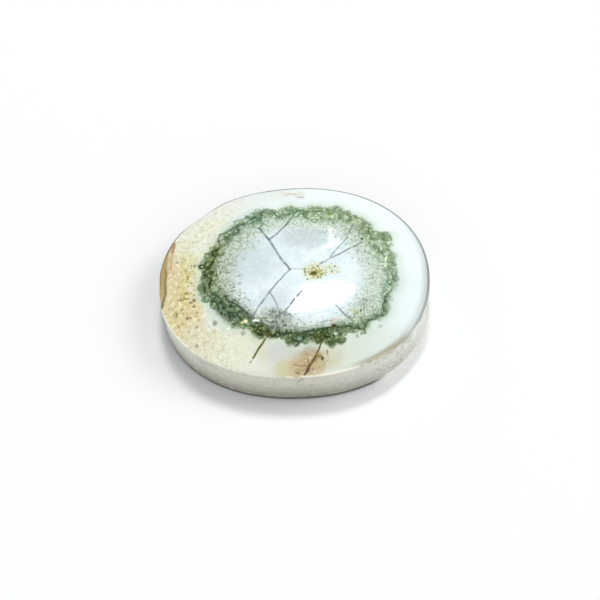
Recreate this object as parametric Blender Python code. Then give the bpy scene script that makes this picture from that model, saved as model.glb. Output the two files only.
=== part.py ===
"""Moss agate cabochon: one polished oval stone with a low dome, an upright wall and a flat base.

Units are metres and +Z is up. The stone rests on its base at z = 0, with the centre of its
bounding box over the origin and its long axis along X.
"""

import math

import bmesh
import bpy
from mathutils import Vector

# Driving dimensions of the stone
LENGTH = 0.0250
WIDTH = 0.0200
RIDGE_HEIGHT = 0.0046
DOME_RISE = 0.0022
BASE_CHAMFER = 0.0002
WALL_UNDERCUT = 0.00012
RIDGE_ROUND = 0.00012

# Outline: a superellipse, a little squarer than an ellipse, with the slight three-sided
# unevenness of a stone ground by hand
OUTLINE_POWER = 2.14
UNEVEN_ALONG_X = -0.0037
UNEVEN_ALONG_Y = -0.0021

# Dome: a parabola that bends down faster near the ridge
DOME_FLATNESS = 0.35
DOME_FLAT_POWER = 6

# Grinding flats across the ridge: (direction in degrees, inset from the outline, slope in degrees)
FLATS = {
    "left end": (184.0, 0.00060, 45.0),
    "left shoulder": (128.0, 0.00075, 39.0),
    "far side": (95.0, 0.00055, 39.0),
    "right front": (-42.0, 0.00050, 46.0),
}

# Mesh resolution
SEGMENTS = 120
DOME_RINGS = 14
RIDGE_ROUND_SEGMENTS = 2
SMOOTH_BELOW = math.radians(20)

# Surface
STONE_COLOUR = (0.78, 0.82, 0.78, 1.0)
STONE_ROUGHNESS = 0.12
STONE_IOR = 1.54


def outline_radius(angle):
    """Distance from the centre to the ridge line in a plan direction."""
    across = abs(math.cos(angle) / (LENGTH / 2)) ** OUTLINE_POWER
    along = abs(math.sin(angle) / (WIDTH / 2)) ** OUTLINE_POWER
    uneven = 1 + UNEVEN_ALONG_X * math.cos(3 * angle) + UNEVEN_ALONG_Y * math.sin(3 * angle)
    return uneven * (across + along) ** (-1 / OUTLINE_POWER)


def dome_height(share):
    """Height of the dome at a share of the way from its top to the ridge."""
    soft = 1 - share**2
    firm = 1 - share**DOME_FLAT_POWER
    return RIDGE_HEIGHT + DOME_RISE * ((1 - DOME_FLATNESS) * soft + DOME_FLATNESS * firm)


def add_ring(mesh, height, share=1.0, inset=0.0):
    """Adds a closed loop of edges that follows the outline, and returns its edges."""
    verts = []
    for step in range(SEGMENTS):
        angle = 2 * math.pi * step / SEGMENTS
        reach = outline_radius(angle) * share - inset
        verts.append(mesh.verts.new((reach * math.cos(angle), reach * math.sin(angle), height)))
    return [mesh.edges.new((verts[i - 1], verts[i])) for i in range(SEGMENTS)]


def add_dome_top(mesh, ring):
    """Closes the dome with a fan from its last ring to the top point."""
    top = mesh.verts.new((0, 0, dome_height(0)))
    for edge in ring:
        mesh.faces.new((edge.verts[0], edge.verts[1], top))


def flat_plane(direction, inset, slope):
    """A point on a grinding flat and the flat's outward normal."""
    angle = math.radians(direction)
    steps = [2 * math.pi * i / 720 for i in range(720)]
    support = max(outline_radius(a) * math.cos(a - angle) for a in steps)
    reach = support - inset
    share = reach / outline_radius(angle)
    point = Vector((reach * math.cos(angle), reach * math.sin(angle), dome_height(share)))
    tilt = math.radians(slope)
    normal = Vector((math.cos(angle) * math.sin(tilt), math.sin(angle) * math.sin(tilt), math.cos(tilt)))
    return point, normal


def grind_flat(mesh, direction, inset, slope):
    """Cuts one flat across the ridge and closes the cut."""
    point, normal = flat_plane(direction, inset, slope)
    geometry = mesh.verts[:] + mesh.edges[:] + mesh.faces[:]
    cut = bmesh.ops.bisect_plane(mesh, geom=geometry, plane_co=point, plane_no=normal, clear_outer=True)
    rim = [item for item in cut["geom_cut"] if isinstance(item, bmesh.types.BMEdge)]
    bmesh.ops.edgeloop_fill(mesh, edges=rim)


def centre_on_origin(mesh):
    """Moves the stone so that its bounding box is centred over the origin."""
    low_x = min(v.co.x for v in mesh.verts)
    high_x = max(v.co.x for v in mesh.verts)
    low_y = min(v.co.y for v in mesh.verts)
    high_y = max(v.co.y for v in mesh.verts)
    offset = Vector((-(low_x + high_x) / 2, -(low_y + high_y) / 2, 0))
    bmesh.ops.translate(mesh, verts=mesh.verts, vec=offset)


def model_stone():
    """The closed solid: base, chamfer, wall, rounded ridge, dome and grinding flats."""
    mesh = bmesh.new()
    base = add_ring(mesh, 0, inset=WALL_UNDERCUT + BASE_CHAMFER)
    foot = add_ring(mesh, BASE_CHAMFER, inset=WALL_UNDERCUT)
    ridge = add_ring(mesh, RIDGE_HEIGHT)
    rings = [base, foot, ridge]
    for step in range(1, DOME_RINGS + 1):
        share = math.cos(math.pi / 2 * step / (DOME_RINGS + 1))
        rings.append(add_ring(mesh, dome_height(share), share=share))
    for lower, upper in zip(rings, rings[1:]):
        bmesh.ops.bridge_loops(mesh, edges=lower + upper)
    add_dome_top(mesh, rings[-1])
    bmesh.ops.edgeloop_fill(mesh, edges=base)
    bmesh.ops.recalc_face_normals(mesh, faces=mesh.faces)
    bmesh.ops.bevel(
        mesh,
        geom=ridge,
        offset=RIDGE_ROUND,
        offset_type="OFFSET",
        segments=RIDGE_ROUND_SEGMENTS,
        profile=0.5,
        affect="EDGES",
    )
    for direction, inset, slope in FLATS.values():
        grind_flat(mesh, direction, inset, slope)
    bmesh.ops.recalc_face_normals(mesh, faces=mesh.faces)
    centre_on_origin(mesh)
    return mesh


def stone_material():
    """Milky, polished chalcedony."""
    material = bpy.data.materials.new("moss agate")
    material.use_nodes = True
    shader = material.node_tree.nodes["Principled BSDF"]
    shader.inputs["Base Color"].default_value = STONE_COLOUR
    shader.inputs["Roughness"].default_value = STONE_ROUGHNESS
    shader.inputs["IOR"].default_value = STONE_IOR
    shader.inputs["Metallic"].default_value = 0.0
    return material


def make_cabochon():
    """Adds the stone to the scene as one object."""
    solid = model_stone()
    data = bpy.data.meshes.new("cabochon")
    solid.to_mesh(data)
    solid.free()
    data.materials.append(stone_material())
    data.shade_smooth()
    data.set_sharp_from_angle(angle=SMOOTH_BELOW)
    stone = bpy.data.objects.new("cabochon", data)
    bpy.context.scene.collection.objects.link(stone)


def clear_scene():
    """Removes whatever the scene holds at the start."""
    for item in list(bpy.data.objects):
        bpy.data.objects.remove(item)


clear_scene()
make_cabochon()
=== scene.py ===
import math
from functools import partialmethod

import bpy
import numpy as np
from mathutils import Matrix, Vector


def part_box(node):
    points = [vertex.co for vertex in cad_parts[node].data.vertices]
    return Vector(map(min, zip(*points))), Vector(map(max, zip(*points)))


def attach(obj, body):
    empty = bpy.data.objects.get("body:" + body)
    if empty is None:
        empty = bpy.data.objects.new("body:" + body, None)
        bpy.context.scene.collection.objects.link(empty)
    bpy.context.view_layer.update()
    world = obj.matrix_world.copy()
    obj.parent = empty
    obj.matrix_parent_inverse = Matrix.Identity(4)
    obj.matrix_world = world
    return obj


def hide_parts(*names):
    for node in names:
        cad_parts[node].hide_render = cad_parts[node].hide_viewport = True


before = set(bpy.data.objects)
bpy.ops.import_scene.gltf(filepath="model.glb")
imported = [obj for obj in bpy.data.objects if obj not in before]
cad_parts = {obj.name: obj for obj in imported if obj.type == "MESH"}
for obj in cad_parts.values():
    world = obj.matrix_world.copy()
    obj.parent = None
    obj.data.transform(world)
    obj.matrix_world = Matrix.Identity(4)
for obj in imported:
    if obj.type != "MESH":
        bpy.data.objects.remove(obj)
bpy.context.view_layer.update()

MM = 0.001

# Form of the stone, in metres, as the solid has it
LOW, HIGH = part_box("cabochon")
LENGTH = 0.0250
WIDTH = 0.0200
RIDGE_HEIGHT = 0.0046
DOME_RISE = 0.0022
BASE_CHAMFER = 0.0002
WALL_UNDERCUT = 0.00012
OUTLINE_POWER = 2.14
UNEVEN_ALONG_X = -0.0037
UNEVEN_ALONG_Y = -0.0021
DOME_FLATNESS = 0.35
DOME_FLAT_POWER = 6
RIDGE_SOFTNESS = 0.00010
FRONT_SOFTNESS = 0.00028
FRONT_DIRECTION = -112.0
FRONT_SPREAD = 6
CREASE_ANGLE = 30.0

# Grinding flats across the ridge: (direction in degrees, inset from the outline, slope in degrees)
FLATS = {
    "left end": (184.0, 0.00060, 45.0),
    "left shoulder": (128.0, 0.00075, 39.0),
    "far side": (95.0, 0.00055, 39.0),
    "right front": (-42.0, 0.00050, 46.0),
}

# Camera: the photograph's viewing angle in degrees, its distance in metres, and where the middle
# of the stone's base falls in the 600 by 600 frame
FRAME_PX = 600
VIEW_AZIMUTH = 5.4
VIEW_ELEVATION = 61.3
VIEW_ROLL = 6.8
VIEW_DISTANCE = 0.250
FOCAL_PX = 2671.0
BASE_CENTRE_PX = (296.9, 305.2)
SENSOR_MM = 36.0

# Glowing panels: their direction, distance, and corners in their own plane, in metres.
# The dome mirrors the key panel as the bright patch, and the two narrow bars as the small bright corner.
PANEL_DIRECTION = (0.048, 0.333, 0.942)
PANEL_DISTANCE = 1.0
KEY_CORNERS = [
    (0.095, 0.113), (0.066, -0.045), (-0.005, -0.098), (-0.094, -0.103), (-0.120, -0.067), (-0.053, 0.037),
    (0.022, 0.090),
]
SILL_CORNERS = [
    (0.056, -0.316), (0.013, -0.349), (-0.011, -0.399), (-0.015, -0.381), (0.008, -0.329), (0.050, -0.301),
]
POST_CORNERS = [(0.044, -0.512), (0.026, -0.517), (0.008, -0.354), (0.022, -0.351)]
KEY_RADIANCE = 45
BAR_RADIANCE = 9

# A soft lamp at the side, the studio round it and its dim ceiling, and the floor
SIDE_DIRECTION = (0.62, 0.15, 0.77)
SIDE_DISTANCE = 1.0
SIDE_SIZE = 0.40
SIDE_RADIANCE = 4.8
STUDIO_COLOUR = (0.97, 0.99, 1.0)
STUDIO_BRIGHT = 0.83
STUDIO_DIM = 0.17
DIM_DIRECTION = (0.02, 0.46, 0.89)
DIM_ANGLE = 40.0
FLOOR_HALF = 1.0
FLOOR_COLOUR = (0.93, 0.94, 0.94)
FLOOR_ROUGHNESS = 0.9

# Mesh resolution
SEGMENTS = 360
DOME_RINGS = 104
WALL_RINGS = 14
RIDGE_RINGS = 6
BASE_RINGS = 4


def add_object(name, data):
    thing = bpy.data.objects.new(name, data)
    bpy.context.scene.collection.objects.link(thing)
    return thing


def add_mesh(name, points, faces):
    data = bpy.data.meshes.new(name)
    data.from_pydata(points, [], faces)
    return add_object(name, data)


# Shape of the stone

def outline_radius(angle):
    """Distance from the centre to the ridge line in a plan direction."""
    across = np.abs(np.cos(angle) / (LENGTH / 2)) ** OUTLINE_POWER
    along = np.abs(np.sin(angle) / (WIDTH / 2)) ** OUTLINE_POWER
    uneven = 1 + UNEVEN_ALONG_X * np.cos(3 * angle) + UNEVEN_ALONG_Y * np.sin(3 * angle)
    return uneven * (across + along) ** (-1 / OUTLINE_POWER)


def dome_height(share):
    """Height of the dome at a share of the way from its top to the ridge."""
    soft = 1 - share**2
    firm = 1 - share**DOME_FLAT_POWER
    return RIDGE_HEIGHT + DOME_RISE * ((1 - DOME_FLATNESS) * soft + DOME_FLATNESS * firm)


def flat_plane(direction, inset, slope):
    """A point on a grinding flat and the flat's outward normal."""
    angle = math.radians(direction)
    around = np.linspace(0, 2 * math.pi, 720, endpoint=False)
    reach = (outline_radius(around) * np.cos(around - angle)).max() - inset
    height = dome_height(reach / outline_radius(angle))
    tilt = math.radians(slope)
    normal = np.array([math.cos(angle) * math.sin(tilt), math.sin(angle) * math.sin(tilt), math.cos(tilt)])
    return np.array([reach * math.cos(angle), reach * math.sin(angle), height]), normal


def grind_flats(points):
    """Presses every point that stands proud of a grinding flat back onto it."""
    for direction, inset, slope in FLATS.values():
        point, normal = flat_plane(direction, inset, slope)
        proud = np.clip((points - point) @ normal, 0, None)
        points = points - proud[..., None] * normal
    return points


def ridge_softness(angle):
    """How far the rounding of the ridge reaches: worn soft at the front, crisp elsewhere."""
    front = np.clip(np.cos(angle - math.radians(FRONT_DIRECTION)), 0, 1) ** FRONT_SPREAD
    return RIDGE_SOFTNESS + FRONT_SOFTNESS * front


def stone_rings(angle):
    """Rings of points from the middle of the base, up the wall and over the dome."""
    edge = outline_radius(angle)
    inset = WALL_UNDERCUT + BASE_CHAMFER
    rings = [(edge - inset) * step / BASE_RINGS for step in range(1, BASE_RINGS + 1)]
    rings = [(reach, 0 * angle) for reach in rings]
    soft = ridge_softness(angle)
    wall_top = RIDGE_HEIGHT - soft
    for step in range(WALL_RINGS + 1):
        share = step / WALL_RINGS
        height = BASE_CHAMFER + (wall_top - BASE_CHAMFER) * share
        rings.append((edge - WALL_UNDERCUT * (1 - share), height))
    dome_start = 1 - soft / edge
    for step in range(1, RIDGE_RINGS):
        t = step / RIDGE_RINGS
        reach = edge * (1 - t**2) + edge * dome_start * t**2
        height = (1 - t) ** 2 * wall_top + 2 * t * (1 - t) * RIDGE_HEIGHT + t**2 * dome_height(dome_start)
        rings.append((reach, height))
    for step in range(DOME_RINGS):
        share = dome_start * math.cos(math.pi / 2 * step / DOME_RINGS)
        rings.append((edge * share, dome_height(share)))
    return rings


def make_stone():
    """The dressed stone as one closed mesh."""
    angle = np.linspace(0, 2 * math.pi, SEGMENTS, endpoint=False)
    rings = stone_rings(angle)
    points = np.array([np.stack([r * np.cos(angle), r * np.sin(angle), h], -1) for r, h in rings])
    points = grind_flats(points)
    shift = np.array([(LOW.x + HIGH.x) / 2, (LOW.y + HIGH.y) / 2, 0])
    shift[:2] -= (points[..., :2].reshape(-1, 2).min(0) + points[..., :2].reshape(-1, 2).max(0)) / 2
    verts = [tuple(p) for p in (points + shift).reshape(-1, 3)]
    count = len(verts)
    verts += [(0.0, 0.0, 0.0), (0.0, 0.0, float(dome_height(0)))]
    faces = []
    for ring in range(len(rings) - 1):
        for i in range(SEGMENTS):
            j = (i + 1) % SEGMENTS
            a, b = ring * SEGMENTS, (ring + 1) * SEGMENTS
            faces.append((a + i, a + j, b + j, b + i))
    last = (len(rings) - 1) * SEGMENTS
    for i in range(SEGMENTS):
        j = (i + 1) % SEGMENTS
        faces.append((count, j, i))
        faces.append((last + i, last + j, count + 1))
    stone = add_mesh("stone", verts, faces)
    stone.data.validate()
    stone.data.shade_smooth()
    stone.data.set_sharp_from_angle(angle=math.radians(CREASE_ANGLE))
    return stone


# Camera, floor and light

def camera_axes():
    """The camera's right, up and back directions."""
    azimuth, elevation, roll = (math.radians(v) for v in (VIEW_AZIMUTH, VIEW_ELEVATION, VIEW_ROLL))
    right = Vector((math.cos(azimuth), math.sin(azimuth), 0))
    back = Vector((math.sin(azimuth) * math.cos(elevation), -math.cos(azimuth) * math.cos(elevation),
                   math.sin(elevation)))
    up = back.cross(right)
    return right * math.cos(roll) - up * math.sin(roll), right * math.sin(roll) + up * math.cos(roll), back


def camera_place():
    """The camera's position."""
    right, up, back = camera_axes()
    px_size = VIEW_DISTANCE / FOCAL_PX
    aside = (BASE_CENTRE_PX[0] - FRAME_PX / 2) * px_size
    above = (FRAME_PX / 2 - BASE_CENTRE_PX[1]) * px_size
    return back * VIEW_DISTANCE - right * aside - up * above


def add_camera():
    data = bpy.data.cameras.new("camera")
    data.lens = FOCAL_PX / FRAME_PX * SENSOR_MM
    data.sensor_width = SENSOR_MM
    data.clip_start = 0.01
    data.clip_end = 10
    camera = add_object("camera", data)
    turn = Matrix(camera_axes()).transposed()
    camera.matrix_world = Matrix.Translation(camera_place()) @ turn.to_4x4()
    bpy.context.scene.camera = camera


def plain_material(name, colour, roughness):
    material = bpy.data.materials.new(name)
    material.use_nodes = True
    shader = material.node_tree.nodes["Principled BSDF"]
    shader.inputs["Base Color"].default_value = (*colour, 1)
    shader.inputs["Roughness"].default_value = roughness
    return material


def add_floor():
    half = FLOOR_HALF
    corners = [(-half, -half, 0), (half, -half, 0), (half, half, 0), (-half, half, 0)]
    floor = add_mesh("floor", corners, [(0, 1, 2, 3)])
    floor.data.materials.append(plain_material("floor", FLOOR_COLOUR, FLOOR_ROUGHNESS))


def facing_stone(direction, distance):
    """Place and turn of something that faces the stone from a direction."""
    out = Vector(direction).normalized()
    return Vector((0, 0, RIDGE_HEIGHT)) + out * distance, out.to_track_quat("Z", "Y")


def add_side_lamp():
    """A square lamp that isn't mirrored in the stone; its brightness is given as a radiance."""
    data = bpy.data.lights.new("side", "AREA")
    data.shape = "RECTANGLE"
    data.size = data.size_y = SIDE_SIZE
    data.energy = SIDE_RADIANCE * math.pi * SIDE_SIZE**2
    lamp = add_object("side", data)
    lamp.location, turn = facing_stone(SIDE_DIRECTION, SIDE_DISTANCE)
    lamp.rotation_euler = turn.to_euler()
    lamp.visible_glossy = False


def add_panel(name, corners, radiance):
    """A flat glowing panel that faces the stone."""
    middle, turn = facing_stone(PANEL_DIRECTION, PANEL_DISTANCE)
    points = [middle + turn @ Vector((u, v, 0)) for u, v in corners]
    panel = add_mesh(name, points, [tuple(range(len(corners)))])
    material = plain_material(name, (0, 0, 0), 1.0)
    shader = material.node_tree.nodes["Principled BSDF"]
    shader.inputs["Emission Color"].default_value = (1, 1, 1, 1)
    shader.inputs["Emission Strength"].default_value = radiance
    panel.data.materials.append(material)


def add_world():
    """A soft bright studio with a dim ceiling round the key panel."""
    world = bpy.data.worlds.new("studio")
    world.use_nodes = True
    tree = world.node_tree
    n = Nodes(tree)
    direction = n.add("TexCoord").outputs["Generated"]
    toward = n.vector("DOT_PRODUCT", direction, Vector(DIM_DIRECTION).normalized())
    angle = math.radians(DIM_ANGLE)
    ceiling = n.step(toward, math.cos(angle * 1.5), math.cos(angle * 0.5))
    strength = n.minus(STUDIO_BRIGHT, n.times(ceiling, STUDIO_BRIGHT - STUDIO_DIM))
    shade = tree.nodes["Background"]
    shade.inputs["Color"].default_value = (*STUDIO_COLOUR, 1)
    n.feed(shade.inputs["Strength"], strength)
    bpy.context.scene.world = world


# Node kit

def srgb(red, green, blue):
    """A colour given as 0 to 255 display values."""
    linear = [((c / 255 + 0.055) / 1.055) ** 2.4 if c > 10 else c / 255 / 12.92 for c in (red, green, blue)]
    return (*linear, 1.0)


class Nodes:
    """Adds nodes to one tree, so that a pattern reads as a formula."""

    def __init__(self, tree):
        self.tree = tree

    def feed(self, socket, value):
        if isinstance(value, bpy.types.NodeSocket):
            self.tree.links.new(value, socket)
        elif value is not None:
            socket.default_value = value

    def add(self, kind, *values, named=None, **settings):
        node = self.tree.nodes.new("ShaderNode" + kind)
        for name, value in settings.items():
            setattr(node, name, value)
        for socket, value in zip(node.inputs, values):
            self.feed(socket, value)
        for name, value in (named or {}).items():
            self.feed(node.inputs[name], value)
        return node

    def math(self, operation, *values):
        return self.add("Math", *values, operation=operation).outputs[0]

    plus = partialmethod(math, "ADD")
    minus = partialmethod(math, "SUBTRACT")
    times = partialmethod(math, "MULTIPLY")
    over = partialmethod(math, "DIVIDE")
    most = partialmethod(math, "MAXIMUM")
    least = partialmethod(math, "MINIMUM")
    size = partialmethod(math, "ABSOLUTE")

    def step(self, value, start, end, peak=1.0):
        """0 at start, the peak at end, smooth between; start may be the larger."""
        return self.add("MapRange", value, start, end, 0.0, peak, interpolation_type="SMOOTHSTEP").outputs[0]

    def vector(self, operation, *values):
        node = self.add("VectorMath", *values, operation=operation)
        scalar = operation in ("DOT_PRODUCT", "LENGTH", "DISTANCE")
        return node.outputs["Value" if scalar else "Vector"]

    def scaled(self, vector, amount):
        return self.add("VectorMath", vector, named={"Scale": amount}, operation="SCALE").outputs["Vector"]

    def parts(self, vector):
        return self.add("SeparateXYZ", vector).outputs

    def joined(self, x, y, z):
        return self.add("CombineXYZ", x, y, z).outputs[0]

    def noise(self, place, scale, detail=2.0, roughness=0.5, output="Fac"):
        named = {"Vector": place, "Scale": scale, "Detail": detail, "Roughness": roughness}
        return self.add("TexNoise", named=named).outputs[output]

    def cells(self, place, scale):
        """Random points in plan: the nearest one's distance, colour and place."""
        named = {"Vector": place, "Scale": scale}
        return self.add("TexVoronoi", named=named, voronoi_dimensions="2D").outputs

    def mix(self, share, first, second):
        """Two colours mixed; each is a socket or three display values from 0 to 255."""
        node = self.tree.nodes.new("ShaderNodeMix")
        node.data_type = "RGBA"
        for index, value in ((0, share), (6, first), (7, second)):
            self.feed(node.inputs[index], srgb(*value) if isinstance(value, tuple) else value)
        return node.outputs[2]

    def curve(self, value, points):
        """A float curve through (x, y) points."""
        node = self.tree.nodes.new("ShaderNodeFloatCurve")
        line = node.mapping.curves[0]
        line.points[0].location = points[0]
        line.points[1].location = points[-1]
        for x, y in points[1:-1]:
            line.points.new(x, y)
        node.mapping.update()
        self.feed(node.inputs["Value"], value)
        return node.outputs[0]

    def group(self, tree, **values):
        node = self.tree.nodes.new("ShaderNodeGroup")
        node.node_tree = tree
        for name, value in values.items():
            self.feed(node.inputs[name], value)
        return node.outputs


# Markings of the stone, read from the photograph: pixels of the 600 by 600 frame

RING_CENTRE_MM = (0.47, -0.1)
RING_HALF_MM = (9.2, 7.45)
RING_SPAN = 1.5
LATE_ROUNDS = 8
SIGHT_ROUNDS = 20

RING_OUTER_PX = [
    (198.8, 265), (206, 256.5), (212, 247), (217, 241), (222.7, 233.6), (234, 224), (242, 219),
    (247.6, 216), (253, 212.5), (266, 208.7), (274, 210.6), (291.6, 205.3), (297.7, 207.7), (317, 205.8),
    (327, 207.7), (337, 206), (347, 211.6), (356, 215.4), (371, 224), (376, 231.7), (388.5, 232.6),
    (390.5, 241), (390.5, 250), (395, 256.5), (395, 266), (398, 279.5), (396, 288), (391.4, 295),
    (389.5, 303), (389.5, 311), (383, 318.7), (372, 321.6), (365.6, 330.7), (355, 330.7), (344.5, 333.6),
    (340, 343), (331, 346), (321.6, 342), (302, 342), (288.7, 346), (283, 338), (267.7, 338.4),
    (256, 337.4), (247.6, 329), (236, 327.8), (226.5, 322), (215, 311), (209, 301.5), (200, 296),
    (198.8, 286), (202, 275),
]
RING_INNER_PX = [
    (214, 276), (216, 262), (222, 249), (236, 236.4), (247.6, 227), (259, 226), (268, 218), (280, 219),
    (290, 217), (310, 219), (330, 220), (345, 222), (355, 226), (362, 236), (370, 246), (376, 254),
    (382, 264), (385, 276), (384, 288), (383, 298), (383, 306), (378, 313), (368, 318), (358, 322),
    (347, 322), (330, 327), (320, 329), (300, 330), (288, 331), (270, 327), (255, 319), (245, 311),
    (236, 304), (228, 297), (221, 289), (217, 283),
]
SPECKS_INNER_PX = [
    (239, 270), (242, 259), (250, 251), (264, 238), (280, 232), (300, 232), (320, 233), (336, 237),
    (347, 250), (356, 263), (358, 277), (355, 292), (346, 307), (335, 316), (318, 320), (300, 319),
    (290, 313), (275, 306), (262, 309), (248, 299), (240, 288),
]

# The moss round the ring: (x, y, darkness, share of olive in its green)
RING_MOSS_PX = [
    (200, 275, 0.78, 0.85), (203, 290, 0.72, 0.5), (222, 300, 0.86, 0.2), (236, 312, 0.92, 0.15),
    (262, 332, 0.95, 0.65), (297, 336, 0.88, 0.35), (320, 336, 1.0, 0.65), (345, 329, 0.7, 0.4),
    (372, 318, 0.45, 0.2), (392, 282, 0.24, 0.1), (388, 245, 0.3, 0.3), (368, 226, 0.38, 0.4),
    (320, 212, 0.18, 0.3), (285, 212, 0.14, 0.2), (255, 216, 0.36, 0.0), (232, 230, 0.42, 0.15),
    (217, 243, 0.54, 0.55), (206, 258, 0.72, 0.85),
]

# Lines on the polished top: (colour, half width in mm, strength, points)
CRACK_GREY = (78, 104, 100)
CRACKS = {
    "upper left arm": (CRACK_GREY, 0.085, 0.95, [(259.5, 228.5), (269, 240), (281, 258.5), (290, 269)]),
    "upper branch": (CRACK_GREY, 0.075, 0.9, [(269, 239.5), (277, 233.7), (285.7, 225.2), (298, 210)]),
    "short right arm": (CRACK_GREY, 0.045, 0.6, [(290, 268.7), (303, 268.8)]),
    "lower left arm": (CRACK_GREY, 0.07, 0.9, [(290, 269), (276, 284), (263, 300.5), (252, 317)]),
    "lower branch": (CRACK_GREY, 0.06, 0.75, [(270, 292.5), (276, 302), (278.5, 312)]),
    "dashed top": ((70, 74, 84), 0.075, 1.0, [(301.5, 291), (297.5, 296)]),
    "dashed middle": ((70, 74, 84), 0.07, 1.0, [(294.5, 299), (290.5, 304)]),
    "dashed low": (CRACK_GREY, 0.06, 0.85, [(289, 306), (285.5, 311)]),
    "dashed faint": (CRACK_GREY, 0.045, 0.45, [(304.7, 286.3), (284, 312)]),
    "right arm": (CRACK_GREY, 0.065, 0.8, [(320, 264), (332, 257.5), (347, 250), (362, 242.5)]),
    "right branch": (CRACK_GREY, 0.055, 0.75, [(330, 257), (346.8, 237.9), (353, 225)]),
    "right twin": (CRACK_GREY, 0.045, 0.55, [(345, 236), (355, 222)]),
    "lower right": (CRACK_GREY, 0.065, 0.85, [(336, 305), (345, 315), (350, 318)]),
    "left curve": ((16, 40, 30), 0.085, 0.95, [(228.8, 301), (235, 303.4), (241, 308.6), (248, 313.5)]),
}
VEINS = {
    "left vein": ((92, 84, 4), 0.074, 1.0, [
        (268.5, 334), (264, 341), (258.6, 348.5), (254.5, 356), (253, 358)]),
    "left vein end": ((110, 92, 30), 0.045, 0.7, [(251.3, 361), (250, 363)]),
    "right vein top": ((92, 80, 12), 0.062, 1.0, [(324, 338), (320.5, 345), (319, 349.5), (315.6, 356)]),
    "right vein": ((88, 66, 4), 0.088, 1.0, [(315.6, 356), (311.5, 363), (308.6, 366.5)]),
    "right vein low": ((76, 54, 2), 0.115, 1.0, [(309, 366), (307.3, 371)]),
    "right vein foot": ((92, 70, 20), 0.07, 1.0, [(307.3, 371), (304.6, 375)]),
    "twig left": ((150, 122, 78), 0.045, 0.75, [(294, 364.4), (300.6, 366.2), (305, 365.6), (309, 366.8)]),
    "twig low": ((158, 130, 84), 0.04, 0.65, [(296.5, 369), (301, 370.8), (306.5, 369)]),
    "twig foot": ((118, 92, 54), 0.05, 0.7, [(295.8, 372), (298.8, 374.2)]),
    "twig right": ((132, 106, 50), 0.05, 0.7, [(311.5, 363), (316, 360), (318.4, 356.4), (321.4, 355)]),
    "twig far right": ((150, 124, 74), 0.04, 0.6, [(318.4, 356.6), (322.2, 360.6), (325, 364)]),
    "left end top": ((128, 112, 14), 0.11, 0.95, [
        (172.4, 243.5), (169, 250.4), (166.3, 257), (164.9, 265)]),
    "left end low": ((84, 68, 0), 0.115, 1.0, [(164.9, 265), (165.8, 275), (164.9, 284), (165.2, 294)]),
    "left end foot": ((84, 72, 0), 0.11, 1.0, [(165.2, 294), (162.4, 304), (161.9, 307)]),
    "left end stain": ((168, 120, 44), 0.15, 0.9, [(174, 244), (172.6, 252)]),
    "left end fading": ((186, 146, 84), 0.08, 0.65, [(172.6, 252), (171, 262), (170.5, 270)]),
    "top dash": ((120, 112, 104), 0.055, 0.7, [(297.5, 197), (303.5, 197.6)]),
    "top dash left": ((176, 166, 148), 0.05, 0.6, [(286, 194.2), (291, 193.6), (296.5, 194.6)]),
}
OLIVE = (42, 50, 0)
GREEN = (40, 70, 44)
THREADS = {
    "left edge": (OLIVE, 0.095, 0.9, [
        (212.8, 262.2), (209.4, 267.2), (202.8, 274.2), (211.4, 279), (209, 288)]),
    "left shoulder": (OLIVE, 0.085, 0.75, [
        (220.4, 234.6), (217.8, 240), (221, 246.5), (217.4, 250.4), (213.3, 249.2), (212.2, 254.6),
        (215.2, 257), (212.8, 262.2)]),
    "left middle": (GREEN, 0.07, 0.7, [(213, 293), (221, 299), (226, 306), (231, 310), (238, 322)]),
    "upper left": (GREEN, 0.095, 0.65, [
        (220.4, 234.6), (228.3, 231.7), (234.4, 226.8), (243.3, 224.4), (250, 220), (257.8, 216.5),
        (261.6, 212.8), (266.2, 209.3), (272.2, 211)]),
    "upper left loop": (GREEN, 0.08, 0.7, [(236.5, 226.5), (238.5, 230), (236.2, 235.4), (227, 233.6)]),
    "top": (GREEN, 0.075, 0.6, [(272.2, 211), (275.2, 213.9), (277.8, 217.8), (282.2, 215), (290, 213.8)]),
    "top right": (GREEN, 0.07, 0.5, [(290, 213.8), (300, 210.6), (313, 212), (322, 210.4)]),
    "bottom": (GREEN, 0.085, 0.8, [(283, 334), (304.4, 332.2), (320, 329.5), (334, 326.5), (341.7, 328.4)]),
    "bottom loop": (OLIVE, 0.085, 0.85, [(313.9, 335), (317.8, 340.8), (322.5, 339.9), (326, 334)]),
    "left loop": (GREEN, 0.08, 0.8, [(292, 338), (295.7, 341), (301.5, 341.8), (303.4, 337)]),
    "lower right": (GREEN, 0.08, 0.85, [
        (345.6, 327.5), (348.8, 325.8), (353.1, 328.3), (359.4, 328.3), (363.6, 330), (365.6, 325),
        (367, 321), (371.9, 319.6), (374.6, 319.8), (377.8, 316.4), (382.5, 315)]),
    "lower right twig": (GREEN, 0.06, 0.7, [(359.4, 328.3), (357.8, 325.4), (358.6, 322)]),
    "right edge": (GREEN, 0.07, 0.75, [
        (382.5, 315), (383.8, 311), (382.8, 304.6), (385.6, 301), (385.2, 296.8)]),
    "right loops": (GREEN, 0.055, 0.45, [(393, 262), (397, 270), (395, 280), (398, 286)]),
}
# Bright streaks are painted highlights: light caught on the edges of the grinding flats at the upper left,
# and on the moss at the right and top.
HIGHLIGHT_WHITE = (250, 254, 244)
PAINTED_HIGHLIGHTS = {
    "left shoulder": (HIGHLIGHT_WHITE, 0.07, 0.8, [(177, 241), (182, 238), (188, 235.5)]),
    "upper left": (HIGHLIGHT_WHITE, 0.055, 0.75, [(219, 208), (225, 205.2), (231, 203)]),
    "moss right": (HIGHLIGHT_WHITE, 0.045, 0.6, [(386.5, 251), (387, 257), (385, 262)]),
    "moss lower right": (HIGHLIGHT_WHITE, 0.045, 0.6, [(384, 295), (388, 290)]),
    "moss top": (HIGHLIGHT_WHITE, 0.045, 0.6, [(310, 219), (315, 217.5)]),
}

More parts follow.
